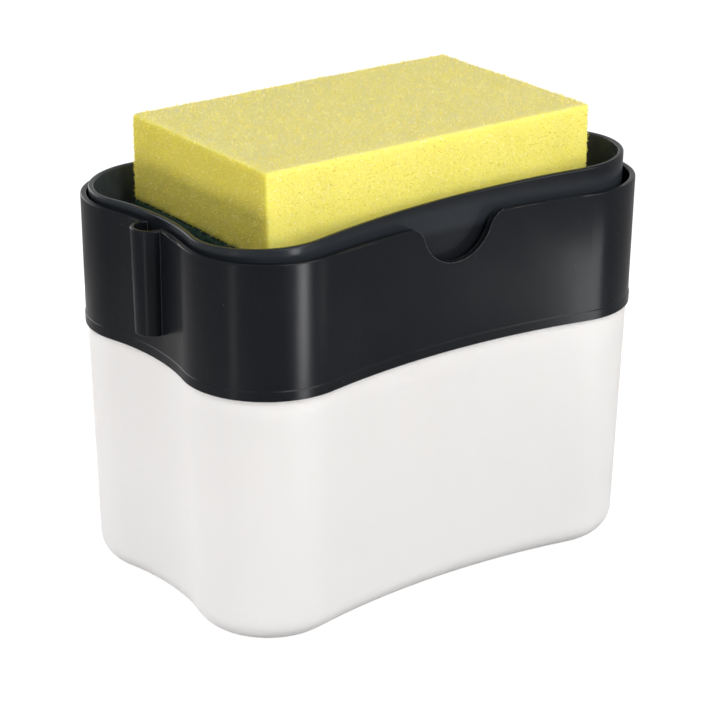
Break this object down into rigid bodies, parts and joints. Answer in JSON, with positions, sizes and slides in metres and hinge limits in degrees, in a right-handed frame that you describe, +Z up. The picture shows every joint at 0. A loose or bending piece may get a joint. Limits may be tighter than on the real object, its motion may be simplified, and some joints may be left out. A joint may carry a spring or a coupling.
{
  "type": "soap pump caddy",
  "caption": "Counter-top caddy: a frosted soap reservoir under a dark collar, with a sponge tray that is pressed down to pump soap up into the sponge.",
  "frame": {"origin": "on the table, under the middle of the reservoir", "axes": "+X along the caddy's length, +Y to the back, +Z up; the long side in the picture faces -Y and the end in the picture faces -X"},
  "size_m": [0.1386, 0.0886, 0.1208],
  "materials": {
    "frosted_plastic": "satin",
    "dark_plastic": "gloss",
    "pump_plastic": "satin",
    "tube_plastic": "satin",
    "seal_rubber": "matte",
    "steel": "polished",
    "scouring_pad": "matte",
    "foam": "matte"
  },
  "bodies": {
    "base": {"reservoir": "frosted_plastic"},
    "cover": {"collar": "dark_plastic", "barrel_gasket": "seal_rubber", "pump_barrel": "pump_plastic", "barrel_nut": "pump_plastic", "guide_cap": "dark_plastic", "ball_retainer": "pump_plastic", "dip_tube": "tube_plastic", "return_spring": "steel"},
    "inlet_valve": {"inlet_ball": "steel"},
    "plunger": {"pump_stem": "pump_plastic", "piston": "tube_plastic", "outlet_stop": "pump_plastic"},
    "outlet_valve": {"outlet_ball": "steel"},
    "swivel": {"stem_seal": "seal_rubber"},
    "cradle": {"tray": "dark_plastic", "nozzle": "dark_plastic"},
    "sponge": {"scouring_pad": "scouring_pad", "sponge_foam": "foam"}
  },
  "joints": [
    {"name": "cover_lift", "type": "slide", "parent": "base", "child": "cover", "axis": [0, 0, 1], "range_m": [0, 0.09]},
    {"name": "press", "type": "slide", "parent": "cover", "child": "plunger", "axis": [0, 0, 1], "range_m": [-0.0075, 0], "stiffness_N_per_m": 500, "springref_m": 0.006, "deforming": ["return_spring"]},
    {"name": "tray_rock", "type": "hinge", "parent": "plunger", "child": "swivel", "pos_m": [0, 0, 0.084], "axis": [-0.309, -0.9511, 0], "range_deg": [-4.1, 0]},
    {"name": "tray_lift", "type": "slide", "parent": "swivel", "child": "cradle", "axis": [-0.034, 0.0111, 0.9994], "range_m": [0, 0.045]},
    {"name": "sponge_lift", "type": "slide", "parent": "cradle", "child": "sponge", "axis": [-0.009, -0.012, 0.9999], "range_m": [0, 0.05]},
    {"name": "inlet_ball_lift", "type": "slide", "parent": "cover", "child": "inlet_valve", "axis": [0, 0, 1], "range_m": [0, 0.001]},
    {"name": "outlet_ball_lift", "type": "slide", "parent": "plunger", "child": "outlet_valve", "axis": [0, 0, 1], "range_m": [0, 0.001]}
  ]
}
